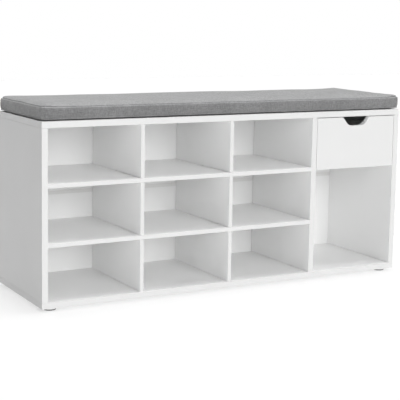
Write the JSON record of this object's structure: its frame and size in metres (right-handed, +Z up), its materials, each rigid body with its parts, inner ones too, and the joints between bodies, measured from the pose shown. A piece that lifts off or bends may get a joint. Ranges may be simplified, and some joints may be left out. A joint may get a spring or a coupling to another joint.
{
  "type": "entryway shoe bench",
  "caption": "Long low storage bench with open shoe cubbies, a notched drawer over an open bay, round feet and a padded fabric seat.",
  "frame": {"origin": "on the floor, under the middle of the bench's length and depth", "axes": "+X along the length towards the drawer bay, +Y from the open front to the back, +Z up"},
  "size_m": [1.05, 0.3, 0.488],
  "materials": {
    "melamine": "white melamine-faced particle board, satin",
    "hardboard": "white lacquered hardboard",
    "drawer_board": "white foil-wrapped board",
    "coated_steel": "white epoxy-coated sheet steel",
    "zinc_steel": "bright zinc-plated steel",
    "white_plastic": "white moulded plastic",
    "nylon": "natural white nylon",
    "linen": "grey heathered linen-look weave",
    "hook_tape": "white hook tape"
  },
  "bodies": {
    "carcass": {"top_panel": "melamine", "bottom_panel": "melamine", "left_side_panel": "melamine", "right_side_panel": "melamine", "main_divider": "melamine", "cubby_divider_left": "melamine", "cubby_divider_right": "melamine", "lower_shelf": "melamine", "upper_shelf": "melamine", "back_panel_upper": "hardboard", "back_panel_lower": "hardboard", "back_joining_strip": "white_plastic", "foot_front_left": "white_plastic", "foot_front_right": "white_plastic", "foot_rear_left": "white_plastic", "foot_rear_right": "white_plastic", "foot_screw_front_left": "zinc_steel", "foot_screw_front_right": "zinc_steel", "foot_screw_rear_left": "zinc_steel", "foot_screw_rear_right": "zinc_steel", "connector_screw_top_left_front": "zinc_steel", "connector_screw_top_left_rear": "zinc_steel", "connector_screw_top_middle_front": "zinc_steel", "connector_screw_top_middle_rear": "zinc_steel", "connector_screw_top_right_front": "zinc_steel", "connector_screw_top_right_rear": "zinc_steel", "connector_screw_bottom_left_front": "zinc_steel", "connector_screw_bottom_left_rear": "zinc_steel", "connector_screw_bottom_middle_front": "zinc_steel", "connector_screw_bottom_middle_rear": "zinc_steel", "connector_screw_bottom_right_front": "zinc_steel", "connector_screw_bottom_right_rear": "zinc_steel", "cabinet_runner_left": "coated_steel", "cabinet_runner_right": "coated_steel", "cabinet_runner_screw_left_front": "zinc_steel", "cabinet_runner_screw_left_rear": "zinc_steel", "cabinet_runner_screw_right_front": "zinc_steel", "cabinet_runner_screw_right_rear": "zinc_steel", "cabinet_roller_pin_left": "zinc_steel", "cabinet_roller_pin_right": "zinc_steel", "hook_strip_left": "hook_tape", "hook_strip_right": "hook_tape"},
    "drawer": {"drawer_front": "melamine", "drawer_side_left": "drawer_board", "drawer_side_right": "drawer_board", "drawer_back": "drawer_board", "drawer_bottom": "hardboard", "drawer_runner_left": "coated_steel", "drawer_runner_right": "coated_steel", "drawer_runner_screw_left_front": "zinc_steel", "drawer_runner_screw_left_rear": "zinc_steel", "drawer_runner_screw_right_front": "zinc_steel", "drawer_runner_screw_right_rear": "zinc_steel", "drawer_roller_pin_left": "zinc_steel", "drawer_roller_pin_right": "zinc_steel"},
    "cushion": {"cushion": "linen"},
    "cabinet_roller_left": {"cabinet_roller_left": "nylon"},
    "cabinet_roller_right": {"cabinet_roller_right": "nylon"},
    "drawer_roller_left": {"drawer_roller_left": "nylon"},
    "drawer_roller_right": {"drawer_roller_right": "nylon"}
  },
  "joints": [
    {"name": "drawer_slide", "type": "slide", "parent": "carcass", "child": "drawer", "axis": [0, -1, 0], "range_m": [0, 0.195]},
    {"name": "cushion_lift", "type": "slide", "parent": "carcass", "child": "cushion", "axis": [0, 0, 1], "range_m": [0, 0.15]},
    {"name": "cabinet_roller_left_spin", "type": "hinge", "parent": "carcass", "child": "cabinet_roller_left", "pos_m": [0.2555, -0.121, 0.3118], "axis": [1, 0, 0], "continuous": true},
    {"name": "drawer_roller_left_spin", "type": "hinge", "parent": "drawer", "child": "drawer_roller_left", "pos_m": [0.2572, 0.1033, 0.3133], "axis": [1, 0, 0], "continuous": true},
    {"name": "cabinet_roller_right_spin", "type": "hinge", "parent": "carcass", "child": "cabinet_roller_right", "pos_m": [0.4995, -0.121, 0.3118], "axis": [1, 0, 0], "continuous": true},
    {"name": "drawer_roller_right_spin", "type": "hinge", "parent": "drawer", "child": "drawer_roller_right", "pos_m": [0.4978, 0.1033, 0.3133], "axis": [1, 0, 0], "continuous": true}
  ],
  "couplings": [
    {"joint": "cabinet_roller_left_spin", "follows": "drawer_slide", "rad_per_m": 142.86},
    {"joint": "drawer_roller_left_spin", "follows": "drawer_slide", "rad_per_m": 117.65},
    {"joint": "cabinet_roller_right_spin", "follows": "drawer_slide", "rad_per_m": 142.86},
    {"joint": "drawer_roller_right_spin", "follows": "drawer_slide", "rad_per_m": 117.65}
  ]
}
